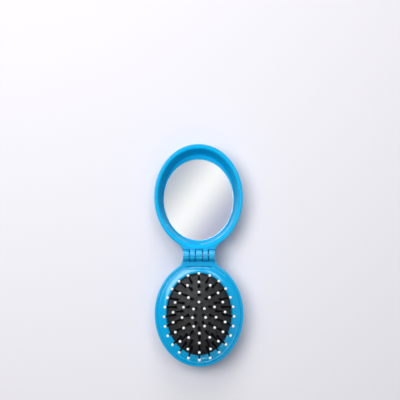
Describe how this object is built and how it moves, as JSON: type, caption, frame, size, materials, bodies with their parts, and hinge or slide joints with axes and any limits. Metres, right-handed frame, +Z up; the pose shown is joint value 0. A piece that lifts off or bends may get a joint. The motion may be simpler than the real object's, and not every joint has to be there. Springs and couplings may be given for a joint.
{
  "type": "folding hairbrush with mirror",
  "caption": "Pocket hairbrush of two hinged oval halves: ball-tipped pins on a pop-up rubber cushion in one, a mirror in the lid.",
  "frame": {"origin": "on the table under the middle of the hinge, with the brush lying open on its back", "axes": "+X along the hinge axis, +Y from the brush half to the mirror half, +Z up through the pins"},
  "size_m": [0.0588, 0.1476, 0.0379],
  "materials": {
    "shell_blue": "gloss blue ABS",
    "bezel_blue": "gloss blue ABS",
    "liner_blue": "gloss blue ABS",
    "cushion_rubber": "dark grey rubber with a fine woven grain",
    "pin_black": "satin black nylon",
    "tip_white": "white nylon balls",
    "plate_grey": "moulded dark grey plastic",
    "pin_steel": "drawn steel wire",
    "mirror_glass": "clear float glass with a polished edge",
    "mirror_silver": "silvered back of the glass",
    "adhesive_white": "white foam tape"
  },
  "bodies": {
    "base": {"base_shell": "shell_blue", "bezel": "bezel_blue", "clamp_ring": "plate_grey", "cushion": "cushion_rubber", "hinge_pin": "pin_steel"},
    "lid": {"lid_cover": "shell_blue", "lid_liner": "liner_blue", "mirror_adhesive": "adhesive_white", "mirror_silver": "mirror_silver", "mirror_glass": "mirror_glass"},
    "ring_1": {"pins_ring_1": "pin_black", "tips_ring_1": "tip_white"},
    "ring_2": {"pins_ring_2": "pin_black", "tips_ring_2": "tip_white"},
    "ring_3": {"pins_ring_3": "pin_black", "tips_ring_3": "tip_white"},
    "ring_4": {"pins_ring_4": "pin_black", "tips_ring_4": "tip_white", "push_plate": "plate_grey"}
  },
  "joints": [
    {"name": "lid_hinge", "type": "hinge", "parent": "base", "child": "lid", "pos_m": [0, 0, 0.017], "axis": [1, 0, 0], "range_deg": [0, 180]},
    {"name": "ring_1_press", "type": "slide", "parent": "base", "child": "ring_1", "axis": [0, 0, -1], "range_m": [0, 0.00623], "deforming": ["cushion"]},
    {"name": "ring_2_press", "type": "slide", "parent": "base", "child": "ring_2", "axis": [0, 0, -1], "range_m": [0, 0.01113], "deforming": ["cushion"]},
    {"name": "ring_3_press", "type": "slide", "parent": "base", "child": "ring_3", "axis": [0, 0, -1], "range_m": [0, 0.01268], "deforming": ["cushion"]},
    {"name": "ring_4_press", "type": "slide", "parent": "base", "child": "ring_4", "axis": [0, 0, -1], "range_m": [0, 0.0128], "deforming": ["cushion"]}
  ],
  "couplings": [
    {"joint": "ring_1_press", "follows": "lid_hinge", "m_per_rad": 0.0019194},
    {"joint": "ring_2_press", "follows": "lid_hinge", "m_per_rad": 0.0034779},
    {"joint": "ring_3_press", "follows": "lid_hinge", "m_per_rad": 0.0039729},
    {"joint": "ring_4_press", "follows": "lid_hinge", "m_per_rad": 0.0040107}
  ]
}
